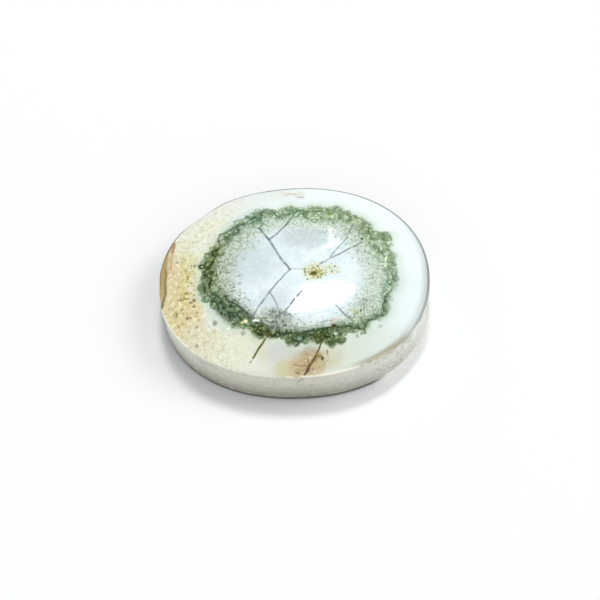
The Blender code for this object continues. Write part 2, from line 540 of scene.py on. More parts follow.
# Small dark knots in the moss, and larger round spots in it and beside it: (x, y, radius in mm, strength)
KNOTS = [
    (201.2, 267, 0.3, 1.0), (212, 272.5, 0.24, 0.9), (205.3, 287.7, 0.18, 0.8), (216.5, 275.4, 0.12, 0.6),
    (214.5, 298.4, 0.15, 0.8), (220.6, 302.4, 0.2, 0.8), (223.7, 308, 0.18, 0.8), (230.8, 306, 0.2, 0.8),
    (239, 311.6, 0.13, 0.9), (249.2, 310.1, 0.1, 0.6), (334, 325.5, 0.17, 0.9), (338, 326.5, 0.12, 0.7),
    (268, 331, 0.24, 0.7), (274.5, 334.5, 0.2, 0.7), (326.4, 337, 0.2, 0.7), (361.8, 239, 0.12, 0.9),
    (369.9, 253.7, 0.1, 0.8), (329.7, 218.3, 0.13, 0.7),
]
MOSS_SPOTS = [
    (200.7, 287.7, 0.34, 0.85), (203.3, 299.4, 0.25, 0.8), (215, 323.4, 0.24, 0.65), (243, 333, 0.24, 0.45),
    (357, 336, 0.15, 0.55), (380.5, 326, 0.18, 0.4), (331.5, 344, 0.34, 0.8), (341, 342, 0.27, 0.55),
    (387.8, 238.3, 0.34, 0.6), (379.4, 236.7, 0.4, 0.5), (393.3, 255.6, 0.38, 0.45), (392, 300, 0.2, 0.35),
    (396.7, 279, 0.24, 0.6), (393, 264, 0.24, 0.35), (363, 226.6, 0.36, 0.45), (331, 212.5, 0.3, 0.55),
    (258, 213, 0.26, 0.4), (288.5, 340.5, 0.34, 0.7), (299.5, 338.5, 0.4, 0.6),
]

# Single dots, ticks and crystal specks, some painted as glints: (x, y, half width, half depth in mm, colour,
# strength)
RUSTY = (118, 84, 36)
GOLDEN = (146, 130, 48)
DUN = (146, 134, 98)
CREAM = (250, 241, 196)
SLATE = (84, 94, 88)
DOTS = [
    (177, 262.7, 0.1, 0.09, (112, 104, 80), 0.8), (185.8, 259.9, 0.1, 0.08, DUN, 0.8),
    (194.7, 266, 0.14, 0.12, (104, 108, 50), 0.8), (191.5, 265.5, 0.1, 0.08, DUN, 0.7),
    (185.8, 271, 0.09, 0.17, DUN, 0.7), (187.6, 278.5, 0.09, 0.3, (120, 104, 44), 0.8),
    (191.3, 283.2, 0.12, 0.1, GOLDEN, 0.8), (179, 287, 0.11, 0.09, DUN, 0.8),
    (190.2, 289.3, 0.34, 0.26, (246, 230, 216), 0.8), (186.2, 293.5, 0.24, 0.1, GOLDEN, 0.8),
    (184, 298, 0.1, 0.22, (160, 150, 60), 0.7), (180.8, 300.4, 0.13, 0.11, RUSTY, 0.8),
    (190.8, 302.7, 0.16, 0.13, RUSTY, 0.9), (194, 300.4, 0.15, 0.13, (96, 66, 30), 0.9),
    (193.6, 306.6, 0.14, 0.14, RUSTY, 0.9), (182, 309.9, 0.15, 0.14, GOLDEN, 0.8),
    (176.3, 315, 0.11, 0.3, (126, 118, 46), 0.8), (187.4, 318, 0.19, 0.14, (130, 108, 50), 0.9),
    (190.8, 318, 0.11, 0.1, RUSTY, 0.8), (178.6, 326, 0.14, 0.18, GOLDEN, 0.7),
    (196.9, 327, 0.11, 0.11, RUSTY, 0.7), (196.7, 346, 0.2, 0.16, (146, 138, 78), 0.7),
    (180.2, 303.8, 0.15, 0.15, CREAM, 0.9), (194, 320.4, 0.15, 0.15, CREAM, 0.9),
    (186.5, 296.5, 0.14, 0.11, CREAM, 0.7), (318.3, 356, 0.19, 0.14, GOLDEN, 0.9),
    (321.7, 356.7, 0.12, 0.1, (104, 80, 26), 0.9), (322.5, 358.7, 0.15, 0.13, (84, 62, 14), 1.0),
    (308, 361.7, 0.07, 0.17, (104, 86, 74), 0.8), (306, 354, 0.1, 0.09, (150, 140, 134), 0.7),
    (313.3, 369.3, 0.12, 0.09, (136, 116, 104), 0.8), (327.7, 353, 0.11, 0.14, (140, 108, 66), 0.7),
    (297.5, 373, 0.24, 0.1, (146, 126, 86), 0.7), (334.4, 320, 0.3, 0.24, (228, 204, 190), 0.6),
    (333.9, 325.6, 0.17, 0.14, (64, 38, 20), 0.9), (335.6, 333.3, 0.18, 0.14, (216, 234, 216), 0.8),
    (330, 213.9, 0.28, 0.22, (116, 130, 44), 0.8), (355.8, 311, 0.4, 0.3, (200, 206, 154), 0.5),
    (356.4, 312.6, 0.16, 0.14, (150, 150, 84), 0.5), (361.7, 238.9, 0.11, 0.1, (40, 44, 20), 0.9),
    (278, 316.6, 0.26, 0.2, SLATE, 0.75), (273, 311, 0.13, 0.16, SLATE, 0.55),
    (279.6, 312, 0.12, 0.12, SLATE, 0.6), (283.4, 312.4, 0.16, 0.1, SLATE, 0.6),
    (272, 317.8, 0.15, 0.1, SLATE, 0.5), (261.4, 322.4, 0.26, 0.16, SLATE, 0.7),
    (266.4, 321.2, 0.14, 0.16, SLATE, 0.55), (276.4, 321.6, 0.16, 0.14, SLATE, 0.7),
    (282.8, 321.6, 0.18, 0.16, SLATE, 0.7), (285.2, 325.2, 0.22, 0.16, SLATE, 0.8),
    (274.4, 325.2, 0.18, 0.12, SLATE, 0.6), (266.4, 327, 0.2, 0.24, SLATE, 0.6),
    (271.6, 328, 0.2, 0.18, SLATE, 0.7), (278.6, 327.8, 0.24, 0.14, SLATE, 0.6),
    (286.6, 312.6, 0.08, 0.16, SLATE, 0.5), (265.6, 337.2, 0.14, 0.12, (196, 206, 170), 0.6),
    (273.4, 332, 0.12, 0.22, (180, 186, 146), 0.6), (284, 329.4, 0.1, 0.28, (176, 194, 176), 0.7),
    (299.8, 338.6, 0.2, 0.16, (160, 196, 172), 0.5), (352.4, 319.8, 0.3, 0.07, (112, 110, 84), 0.6),
    (361, 310.6, 0.1, 0.16, (64, 76, 52), 0.8), (363.8, 299.4, 0.1, 0.18, (92, 100, 64), 0.7),
    # The pale ticks at 386, 259 and 385, 265 are painted highlights; the white and pale gold specks at 245,
    # 321, 242, 322, 256, 320 and 228, 328 are painted glints.
    (386, 258.6, 0.1, 0.28, (240, 248, 196), 0.9), (385.4, 265.4, 0.1, 0.2, (240, 248, 216), 0.8),
    (206.7, 298.4, 0.12, 0.12, (170, 214, 178), 0.7), (245.2, 321.2, 0.22, 0.16, (255, 246, 196), 1.0),
    (241.8, 322.4, 0.12, 0.1, (240, 232, 150), 1.0), (256.0, 320.3, 0.34, 0.13, (255, 255, 255), 1.0),
    (228.0, 328.5, 0.12, 0.1, (255, 255, 255), 1.0), (201.8, 266.8, 0.09, 0.08, (236, 234, 200), 1.0),
]

# Lines on the ground wall, as above; the pale lines along the right foot, on the right scratch and on the
# far right facet are painted highlights
WALL_MARKS = {
    "vein foot": ((112, 104, 86), 0.06, 0.8, [(306.3, 376.5), (302, 379), (297.3, 382.3)]),
    "right scratch highlight": ((236, 236, 222), 0.08, 0.8, [(397, 346), (390.6, 353.3), (388.3, 357.8)]),
    "right chip": ((148, 150, 138), 0.06, 0.6, [(394.5, 351), (390, 357)]),
    # Painted highlight along the foot at the right.
    "painted foot highlight": ((250, 250, 242), 0.06, 0.9, [
        (385, 375.5), (397, 367.8), (407, 356.7), (417, 343.3), (424, 330)]),
    "far right facet highlight": ((240, 242, 232), 0.07, 0.8, [
        (412.8, 330), (415, 334.4), (412.5, 338), (417.2, 343)]),
    "left smear": ((150, 134, 112), 0.1, 0.45, [(196, 358), (203, 362), (215, 368)]),
}

# Broad stains: (x, y, half width, half depth in mm, colour, strength)
STAINS = [
    (300, 394, 14.0, 5.4, (220, 224, 207), 1.0),
    (350, 354, 4.0, 2.4, (216, 224, 210), 0.9),
    (228, 350, 5.2, 3.4, (232, 233, 212), 1.0),
    (388, 345, 4.6, 3.0, (217, 227, 217), 0.8),
    (196, 226, 5.6, 4.8, (235, 236, 217), 1.0),
    (220, 207, 4.4, 2.4, (234, 237, 226), 0.9),
    (272, 195, 4.6, 1.7, (230, 238, 231), 0.9),
    (405, 296, 3.2, 5.2, (228, 240, 240), 0.7),
    (284, 352, 3.6, 1.7, (210, 212, 204), 0.9),
    (170, 296, 4.2, 7.6, (226, 212, 160), 1.0),
    (184, 322, 2.9, 4.1, (225, 210, 158), 1.0),
    (199, 342, 3.0, 2.4, (227, 222, 194), 0.9),
    (176, 272, 1.5, 2.4, (228, 208, 172), 0.7),
    (188, 270, 1.4, 2.6, (220, 214, 150), 0.7),
    (186, 299, 1.2, 2.0, (216, 203, 138), 0.5),
    (188, 314, 1.1, 1.3, (228, 207, 168), 0.5),
    (290, 370, 2.2, 1.2, (208, 202, 160), 0.9),
    (310, 350, 1.3, 1.1, (176, 174, 164), 0.9),
    (306, 365, 2.1, 1.8, (192, 172, 132), 1.0),
    (320, 359, 1.5, 1.5, (192, 176, 132), 0.9),
    (333, 357, 1.4, 1.3, (208, 204, 176), 0.7),
    (290, 194.5, 1.9, 0.6, (226, 224, 212), 0.7),
    (261, 348, 0.8, 1.8, (226, 222, 178), 0.4),
]
LATE_STAINS = [
    (278, 318, 1.9, 1.4, (146, 156, 152), 0.8),
    (366, 306, 1.5, 1.3, (170, 184, 166), 0.5),
    (221, 266, 0.9, 2.0, (166, 166, 140), 0.55),
    (224, 287, 0.9, 1.3, (180, 182, 162), 0.45),
    (268, 333, 1.5, 0.7, (84, 88, 44), 0.8),
    (320, 336, 1.6, 0.7, (72, 88, 46), 0.7),
]
HEART_STAINS = [
    (245, 262, 4.6, 3.9, (211, 226, 228), 1.0),
    (308, 237, 3.9, 1.7, (204, 218, 219), 1.0),
    (275, 300, 2.6, 1.6, (212, 226, 231), 0.8),
]

# Painted light and shade round the ground wall: how bright it is below readings round the stone, lighter at
# the right and darker at the front: (x, y, brightness)
WALL_PAINTED_LIGHT = [
    (158, 285, 0.25), (180, 345, 0.15), (205, 362, 0.05), (250, 373, 0.0), (300, 377, 0.0), (350, 371, 0.2),
    (385, 355, 0.6), (405, 339, 0.8), (422, 316, 1.0), (428, 280, 0.9), (345, 193, 0.5), (220, 207, 0.4),
]

# Bands along the ridge: width in mm, colour, and (x, y, strength) readings round the stone. The grey band
# and the dark outline are painted shade, and the cream line is a painted highlight.
RIDGE_BANDS = {
    "left facet": (1.05, (184, 158, 94), [
        (172, 245, 0), (166, 256, 0.5), (160, 275, 1), (160, 295, 0.9), (163, 312, 0), (300, 377, 0),
        (428, 285, 0)]),
    # Painted shade where the dome falls away steeply at the right.
    "painted grey shade": (0.9, (202, 209, 208), [
        (160, 312, 0), (158, 285, 0), (262, 190, 0.15), (380, 208, 0.1), (405, 230, 0.4), (424, 262, 0.8),
        (428, 285, 1), (424, 308, 0.8), (413, 328, 0.6), (390, 352, 0.3), (340, 374, 0)]),
    "olive shade": (0.6, (168, 164, 138), [
        (340, 374, 0), (355, 370, 0.25), (372, 363, 0.9), (390, 350, 1.0), (408, 334, 0.4),
        (420, 318, 0.05), (428, 285, 0), (300, 188, 0), (175, 335, 0)]),
    # Painted shade: a thin dark line along the far and right edges, where the rounded ridge turns away at a
    # grazing angle.
    "painted dark edge": (0.28, (56, 56, 54), [
        (160, 312, 0.1), (158, 285, 0.5), (160, 262, 0.6), (176, 238, 0.9), (203, 212, 1.0),
        (262, 190, 1.0), (300, 188, 1.0), (345, 193, 1.0), (390, 217, 0.85), (415, 243, 0.7),
        (428, 280, 0.65), (427, 305, 0.5), (418, 325, 0.4), (400, 344, 0.1), (340, 374, 0), (203, 359, 0)]),
    # Painted highlight along the ridge, where its rounded edge catches the light.
    "painted ridge highlight": (0.24, (255, 251, 234), [
        (158, 285, 0), (160, 305, 0.1), (163, 314, 0.9), (175, 335, 1.0), (203, 359, 0.7), (215, 366, 0.2),
        (240, 373, 0.4), (285, 377, 0.5), (292, 377, 0.75), (340, 374, 0.8), (358, 369, 0.5),
        (375, 362, 0.35), (390, 350, 0.2), (413, 328, 0), (300, 188, 0)]),
}


def seen_at(px, py, height):
    """The point at a height, in metres, that the camera sees at a pixel, and its share of the outline."""
    right, up, back = camera_axes()
    eye = camera_place()
    look = right * (px - FRAME_PX / 2) + up * (FRAME_PX / 2 - py) - back * FOCAL_PX
    point = eye + look * ((height - eye.z) / look.z)
    return point, math.hypot(point.x, point.y) / float(outline_radius(math.atan2(point.y, point.x)))


def on_wall(px, py):
    """The point of the wall, in mm, that the camera sees at a pixel."""
    low, high = 0.0, RIDGE_HEIGHT
    for _ in range(SIGHT_ROUNDS):
        height = (low + high) / 2
        point, share = seen_at(px, py, height)
        if share < 1:
            low = height
        else:
            high = height
    return point / MM


def plan(px, py):
    """The point of the dome, in plan and in mm, that the camera sees at a pixel."""
    height = RIDGE_HEIGHT
    for _ in range(SIGHT_ROUNDS):
        point, share = seen_at(px, py, height)
        height = float(dome_height(min(1.0, share)))
    return (point.x / MM, point.y / MM, 0.0)


def ring_place(px, py):
    """Share of a turn from the left end, and distance from the ring's centre in ring radii."""
    x, y, _ = plan(px, py)
    u = (x - RING_CENTRE_MM[0]) / RING_HALF_MM[0]
    v = (y - RING_CENTRE_MM[1]) / RING_HALF_MM[1]
    return math.atan2(v, u) / (2 * math.pi) + 0.5, math.hypot(u, v)


def edge_turn(px, py):
    """Share of a turn from the left end round the stone's own centre."""
    x, y, _ = plan(px, py)
    return math.atan2(y, x) / (2 * math.pi) + 0.5


def closed(pairs):
    """Curve points round a whole turn from (share of a turn, value) pairs, meeting at the left end."""
    points = sorted(pairs)
    first, last = points[0], points[-1]
    share = first[0] / (first[0] + 1 - last[0])
    seam = first[1] + (last[1] - first[1]) * share
    return [(0.0, seam)] + points + [(1.0, seam)]


def ring_line(readings):
    """Curve of a traced line's distance from the ring's centre."""
    return closed([(turn, reach / RING_SPAN) for turn, reach in (ring_place(*at) for at in readings)])


def ring_curve(column):
    """Curve of one column of the moss readings round the ring."""
    return closed([(ring_place(*reading[:2])[0], reading[column]) for reading in RING_MOSS_PX])


def edge_curve(readings):
    """Curve of (x, y, strength) readings round the ridge."""
    return closed([(edge_turn(px, py), strength) for px, py, strength in readings])


# Node groups

def new_group(name, inputs, outputs):
    """An empty node group; returns its tree, its input sockets by name, and its output node."""
    tree = bpy.data.node_groups.new(name, "ShaderNodeTree")
    for socket, kind in inputs.items():
        tree.interface.new_socket(name=socket, in_out="INPUT", socket_type="NodeSocket" + kind)
    for socket, kind in outputs.items():
        tree.interface.new_socket(name=socket, in_out="OUTPUT", socket_type="NodeSocket" + kind)
    source = tree.nodes.new("NodeGroupInput")
    target = tree.nodes.new("NodeGroupOutput")
    return tree, source.outputs, target.inputs


def ring_group():
    """Distances in mm outside the ring's outer line, its inner line and the inner end of the specks."""
    tree, given, result = new_group("moss ring", {"Place": "Vector"},
                                    {"Outer": "Float", "Inner": "Float", "Specks": "Float",
                                     "Turn": "Float"})
    n = Nodes(tree)
    x, y, _ = n.parts(given["Place"])
    u = n.over(n.minus(x, RING_CENTRE_MM[0]), RING_HALF_MM[0])
    v = n.over(n.minus(y, RING_CENTRE_MM[1]), RING_HALF_MM[1])
    reach = n.math("SQRT", n.plus(n.times(u, u), n.times(v, v)))
    turn = n.plus(n.over(n.math("ARCTAN2", v, u), 2 * math.pi), 0.5)
    mean_half = sum(RING_HALF_MM) / 2
    for name, readings in (("Outer", RING_OUTER_PX), ("Inner", RING_INNER_PX), ("Specks", SPECKS_INNER_PX)):
        line = n.times(n.curve(turn, ring_line(readings)), RING_SPAN)
        n.feed(result[name], n.times(n.minus(reach, line), mean_half))
    n.feed(result["Turn"], turn)
    return tree


def edge_group():
    """Distance in mm inward from the stone's outline, and share of a turn from the left end."""
    tree, given, result = new_group("outline", {"Place": "Vector"}, {"Inside": "Float", "Turn": "Float"})
    n = Nodes(tree)
    x, y, _ = n.parts(given["Place"])
    angle = n.math("ARCTAN2", y, x)
    across = n.size(n.times(n.math("COSINE", angle), 2 * MM / LENGTH))
    along = n.size(n.times(n.math("SINE", angle), 2 * MM / WIDTH))
    oval = n.plus(n.math("POWER", across, OUTLINE_POWER), n.math("POWER", along, OUTLINE_POWER))
    thrice = n.times(angle, 3)
    uneven = n.plus(n.times(n.math("COSINE", thrice), UNEVEN_ALONG_X),
                    n.times(n.math("SINE", thrice), UNEVEN_ALONG_Y))
    edge = n.times(n.plus(uneven, 1), n.math("POWER", oval, -1 / OUTLINE_POWER))
    n.feed(result["Inside"], n.minus(edge, n.vector("LENGTH", given["Place"])))
    n.feed(result["Turn"], n.plus(n.over(angle, 2 * math.pi), 0.5))
    return tree


class StonePaint:
    """The colour and finish of the stone, built up layer by layer."""

    def __init__(self, tree):
        self.n = Nodes(tree)
        self.ring = ring_group()
        self.outline = edge_group()
        n = self.n
        source = n.add("TexCoord").outputs
        self.place = n.scaled(source["Object"], 1 / MM)
        x, y, z = n.parts(self.place)
        self.height = z
        self.facing = n.parts(source["Normal"])[2]
        self.colour = None
        self.upper = n.step(self.height, RIDGE_HEIGHT / MM - 1.0, RIDGE_HEIGHT / MM - 0.2)
        self.unpolished = n.step(self.facing, 0.62, 0.3)
        self.upright = n.times(self.unpolished, n.step(self.facing, -0.95, -0.8))
        self.plan = n.joined(x, y, 0.0)
        self.warped = self.stirred(self.place, 0.9, 3.0, 1.6)
        self.jittered = self.stirred(self.place, 2.2, 2.0, 0.16)
        self.curled = self.stirred(self.place, 2.6, 3.0, 0.5)
        self.smudged = self.later(self.stirred(self.place, 4.0, 2.0, 0.3))
        self.drawn = self.later(self.stirred(self.place, 1.2, 2.0, 0.16))
        self.here = n.group(self.ring, Place=self.plan)
        self.rim = n.group(self.ring, Place=self.curled)
        self.edge = n.group(self.outline, Place=self.plan)
        self.cloud = n.noise(self.place, 0.45, 4.0, 0.6)
        self.grain = n.step(n.noise(self.place, 5.5, 3.0, 0.6), 0.32, 0.68)
        worn = n.step(n.noise(self.drawn, 1.4, 2.0), 0.3, 0.56)
        self.worn = n.times(self.upper, n.plus(0.55, n.times(worn, 0.45)))
        self.moss_tones()

    def stirred(self, place, scale, detail, amount):
        """Plan places pushed about by noise."""
        n = self.n
        push = n.vector("SUBTRACT", n.noise(place, scale, detail, output="Color"), (0.5, 0.5, 0.5))
        return n.vector("MULTIPLY_ADD", push, (amount, amount, 0.0), self.plan)

    def later(self, place):
        """The same place, passed on a few times so that the marks drawn last are also worked out last."""
        n = self.n
        for _ in range(LATE_ROUNDS):
            x, y, z = n.parts(place)
            place = n.joined(x, y, z)
        return place

    def lay(self, share, tint):
        """Lays a colour over the colour so far."""
        self.colour = self.n.mix(share, self.colour, tint)

    def moss_tones(self):
        """Middle, dark and light tones of the moss at this part of the ring."""
        n = self.n
        self.darkness = n.curve(self.here["Turn"], ring_curve(2))
        self.olive = n.curve(self.here["Turn"], ring_curve(3))

        def tone(pale_green, pale_olive, deep_green, deep_olive):
            pale = n.mix(self.olive, pale_green, pale_olive)
            deep = n.mix(self.olive, deep_green, deep_olive)
            return n.mix(self.darkness, pale, deep)

        self.moss_fill = tone((170, 197, 166), (174, 193, 134), (62, 98, 58), (76, 92, 18))
        self.moss_dark = tone((98, 134, 96), (102, 128, 54), (12, 40, 10), (26, 36, 0))
        self.moss_light = tone((230, 247, 230), (236, 243, 206), (136, 168, 136), (150, 164, 90))
        self.speck_light = n.mix(self.darkness, (232, 242, 232), (222, 230, 216))

    def patch(self, px, py, width, depth, place=None):
        """Distance from an oval patch's centre, 1 at its rim; its half sizes are in mm."""
        n = self.n
        offset = n.vector("SUBTRACT", place or self.warped, plan(px, py))
        return n.vector("LENGTH", n.vector("DIVIDE", offset, (width, depth, 1.0)))

    def patch_share(self, *values):
        """1 in the middle of an oval patch and 0 at its rim."""
        return self.n.step(self.patch(*values), 1.0, 0.3)

    def stretch(self, place, start, end):
        """Distance in mm from a straight stretch between two points."""
        n = self.n
        start = Vector(start)
        along = Vector(end) - start
        offset = n.vector("SUBTRACT", place, start)
        share = n.vector("DOT_PRODUCT", offset, along / along.length_squared)
        share = n.add("Clamp", share).outputs[0]
        return n.vector("DISTANCE", offset, n.scaled(along, share))

    def patches(self, table, place=None, rim=1.0, core=0.3):
        """Oval patches of colour, soft between two shares of their half sizes."""
        for px, py, width, depth, tint, strength in table:
            reach = self.patch(px, py, width, depth, place)
            self.lay(self.n.step(reach, rim, core, strength), tint)

    def strokes(self, marks, within, place=None, locate=plan):
        """Thin lines; returns how far they cover each place."""
        n = self.n
        cover = 0.0
        for tint, half_width, strength, points in marks.values():
            distance = None
            for start, end in zip(points, points[1:]):
                stretch = self.stretch(place or self.drawn, locate(*start), locate(*end))
                distance = stretch if distance is None else n.least(distance, stretch)
            shade = n.times(n.step(distance, half_width * 2.0, half_width * 0.3, strength), within)
            self.lay(shade, tint)
            cover = n.most(cover, shade)
        return cover

    def random_cells(self, place, scale, offset):
        """Distance to the nearest random point, three random numbers of its own, and its place."""
        n = self.n
        cell = n.cells(n.vector("ADD", place, offset), scale)
        chance = n.add("SeparateColor", cell["Color"]).outputs
        return cell["Distance"], chance, n.vector("SUBTRACT", cell["Position"], offset)

    def dots(self, scale, offset, density, sizes, tints, strength):
        """Round dots at random; density is worked out at each dot's own centre."""
        n = self.n
        distance, chance, centre = self.random_cells(self.jittered, scale, offset)
        shown = n.step(n.minus(density(centre), chance[0]), 0.0, 0.06)
        distance = n.plus(distance, n.times(n.minus(self.grain, 0.5), 0.16))
        size = n.plus(sizes[0], n.times(chance[1], sizes[1] - sizes[0]))
        dot = n.step(distance, n.plus(size, 0.09), n.minus(size, 0.09))
        tint = n.mix(chance[2], *tints)
        self.lay(n.times(n.times(shown, dot), strength), tint)

    def mottle(self, amount, dark, light):
        """Fine uneven dark and light over a colour."""
        n = self.n
        self.lay(n.times(amount, n.step(self.grain, 0.45, 0.0)), dark)
        self.lay(n.times(amount, n.step(self.grain, 0.55, 1.0)), light)

    def body(self):
        """The milky stone outside and inside the ring."""
        n = self.n
        self.colour = n.mix(self.cloud, (234, 246, 245), (244, 252, 250))
        self.patches(STAINS)
        earthy = n.step(n.parts(self.warped)[0], -3.0, -7.5)
        fleck = n.noise(self.jittered, 2.4, 3.0, 0.75)
        self.lay(n.times(n.step(fleck, 0.52, 0.62), n.times(earthy, 0.65)), (252, 250, 228))
        self.lay(n.times(n.step(fleck, 0.48, 0.36), n.times(earthy, 0.5)), (190, 178, 122))
        halo = n.times(n.step(self.rim["Outer"], 1.1, 0.0), n.plus(n.times(self.darkness, 0.5), 0.35))
        self.lay(halo, n.mix(self.olive, (196, 216, 200), (218, 224, 188)))
        outside = self.colour
        self.colour = n.mix(n.step(self.cloud, 0.36, 0.6), (224, 239, 243), (236, 249, 251))
        self.patches(HEART_STAINS)
        wisps = n.noise(self.curled, 1.6, 3.0, 0.6)
        self.lay(n.step(wisps, 0.54, 0.68, 0.45), (246, 252, 255))
        self.lay(n.step(wisps, 0.45, 0.3, 0.45), (206, 218, 228))
        inside = n.step(self.here["Inner"], 0.2, -0.3)
        self.colour = n.mix(inside, outside, self.colour)

    def wash(self):
        """Pale green veil between the specks' inner end and the ring, and the ring's own soft green."""
        n = self.n
        veil = n.times(n.step(self.here["Specks"], -0.5, 1.6), n.step(self.here["Outer"], 0.15, -0.25))
        tint = n.mix(self.darkness, (208, 224, 210), (188, 200, 180))
        self.lay(n.times(veil, 0.9), tint)
        self.band = n.times(n.step(self.rim["Inner"], -0.55, 0.3), n.step(self.rim["Outer"], 0.28, -0.38))
        tone = n.noise(self.curled, 1.25, 3.0, 0.62)
        moss = n.mix(n.step(tone, 0.36, 0.52), self.moss_dark, self.moss_fill)
        moss = n.mix(n.step(tone, 0.5, 0.68), moss, self.moss_light)
        self.lay(n.times(self.band, 0.85), moss)
        self.patches(LATE_STAINS)

    def specks(self):
        """Fine dark and pale grain that thins out towards the middle."""
        n = self.n
        crowd = n.times(n.step(self.here["Specks"], -0.9, 1.5), n.step(self.here["Outer"], 0.1, -0.3))
        clustered = n.step(n.noise(self.place, 1.3, 3.0, 0.6), 0.36, 0.6)
        crowd = n.times(crowd, n.plus(n.plus(0.3, n.times(clustered, 0.6)), n.times(self.darkness, 0.4)))
        crowd = n.times(crowd, n.minus(1.0, n.times(self.band, 0.75)))
        level = n.times(crowd, 0.14)
        for scale, strength in ((2.4, 0.6), (4.6, 0.55)):
            grain = n.noise(self.jittered, scale, 2.0, 0.65)
            dark = n.times(n.step(n.plus(grain, level), 0.6, 0.76), n.step(crowd, 0.0, 0.25))
            pale = n.step(n.minus(grain, level), 0.42, 0.28)
            self.lay(n.times(dark, strength), self.moss_fill)
            self.lay(n.times(pale, n.times(crowd, strength)), self.speck_light)
        tints = (self.moss_dark, n.mix(self.darkness, self.moss_fill, (122, 116, 92)))
        self.dots(3.4, (3.1, 1.7, 0.0), self.speck_density, (0.12, 0.34), tints, 0.55)
        self.dots(5.6, (2.6, 6.4, 0.0), self.speck_density, (0.16, 0.4), tints, 0.4)

    def speck_density(self, centre):
        ring = self.n.group(self.ring, Place=centre)
        share = self.n.times(self.n.step(ring["Specks"], -1.1, 2.4), self.n.step(ring["Outer"], 0.1, -0.2))
        return self.n.times(share, 0.75)

    def lumps(self, scale, offset, density, lift):
        """Moss as soft rounded lumps: paler in the middle, dark along their rims."""
        n = self.n
        distance, chance, centre = self.random_cells(self.curled, scale, offset)
        ring = n.group(self.ring, Place=centre)
        band = n.times(n.step(ring["Inner"], -0.4, 0.35), n.step(ring["Outer"], 0.14, -0.1))
        shown = n.step(n.minus(n.times(band, density), chance[0]), 0.0, 0.06)
        reach = n.over(distance, n.plus(0.4, n.times(chance[1], 0.4)))
        cover = n.times(shown, n.step(reach, 1.1, 0.78))
        tone = n.minus(n.plus(n.times(chance[2], 0.7), lift + 0.65), n.times(n.step(reach, 0.2, 0.9), 0.95))
        tone = n.plus(tone, n.times(n.minus(self.grain, 0.5), 0.35))
        lump = n.mix(n.step(tone, -0.1, 0.5), self.moss_dark, self.moss_fill)
        lump = n.mix(n.step(tone, 0.5, 1.1), lump, self.moss_light)
        self.lay(n.times(cover, 0.85), lump)

    def filaments(self, scale, offset, width, strength):
        """Dark threads that wander along the level lines of a noise."""
        n = self.n
        place = n.vector("ADD", self.curled, offset)
        field = n.noise(place, scale, 1.5, 0.5)
        thread = n.step(n.size(n.minus(field, 0.5)), width, width * 0.2)
        patchy = n.step(n.noise(place, 0.75, 1.0), 0.4, 0.58)
        share = n.times(n.times(thread, patchy), n.times(self.band, strength))
        self.lay(share, self.moss_dark)

    def ring_thread(self, offset, depth, width, strength):
        """A dark thread that winds along the ring at a depth inside its outer line."""
        n = self.n
        place = self.stirred(n.vector("ADD", self.place, offset), 1.0, 3.5, 1.5)
        away = n.size(n.plus(n.group(self.ring, Place=place)["Outer"], depth))
        patchy = n.step(n.noise(n.vector("ADD", self.place, offset), 0.8, 1.0), 0.36, 0.5)
        local = n.times(self.band, n.plus(n.times(self.darkness, 0.6), 0.5))
        share = n.times(n.step(away, width, width * 0.3, strength), n.times(patchy, local))
        self.lay(share, self.moss_dark)

    def spots(self):
        """Dark knots in the moss, and larger spots in it and beside it."""
        n = self.n
        for px, py, radius, strength in MOSS_SPOTS:
            reach = self.patch(px, py, radius, radius, self.smudged)
            tint = n.mix(n.step(reach, 0.3, 1.0, 0.7), self.moss_fill, self.moss_dark)
            self.lay(n.step(reach, 1.45, 0.5, strength), tint)
        knots = [(px, py, radius, radius, self.moss_dark, strength) for px, py, radius, strength in KNOTS]
        self.patches(knots, self.drawn, 1.25, 0.6)

    def iron_density(self, centre):
        n = self.n
        tan = self.patch_share(187, 296, 2.2, 5.2, centre)
        low = self.patch_share(178, 318, 1.8, 2.6, centre)
        rust = self.patch_share(318, 359, 1.9, 1.7, centre)
        patches = n.step(n.noise(centre, 0.9, 1.0), 0.4, 0.6)
        return n.plus(n.times(n.times(n.most(tan, low), patches), 0.55), n.times(rust, 0.5))

    def iron_specks(self):
        """Rusty and pale dots in the tan end and in the stain beside the right vein."""
        rusty = ((132, 112, 50), (180, 162, 96))
        pale = ((246, 238, 204), (242, 228, 206))
        self.dots(2.6, (4.4, 2.9, 0.0), self.iron_density, (0.12, 0.4), pale, 0.45)
        self.dots(3.8, (9.4, 3.3, 0.0), self.iron_density, (0.12, 0.4), rusty, 0.75)

    def heart_density(self, centre):
        n = self.n
        glow = self.patch_share(314, 271.5, 1.45, 1.3, centre)
        tail = n.times(self.patch_share(329, 269.5, 1.5, 0.8, centre), 0.6)
        return n.most(glow, tail)

    def yellow_heart(self):
        """The small yellow-olive burst in the middle."""
        n = self.n
        self.lay(n.times(self.heart_density(self.curled), 0.8), (208, 214, 164))
        gold = self.patch(316.5, 273.0, 0.66, 0.55, self.curled)
        self.lay(n.step(gold, 1.2, 0.4, 0.85), (186, 176, 72))
        olive = ((92, 94, 30), (142, 140, 78))
        pale = ((253, 253, 236), (246, 244, 206))
        self.dots(4.6, (6.6, 2.4, 0.0), self.heart_density, (0.2, 0.46), pale, 0.8)
        self.dots(3.7, (1.1, 3.2, 0.0), self.heart_density, (0.12, 0.38), olive, 0.95)
        core = self.patch(313.9, 273.2, 0.36, 0.27, self.curled)
        self.lay(n.step(core, 1.3, 0.4), (84, 80, 0))

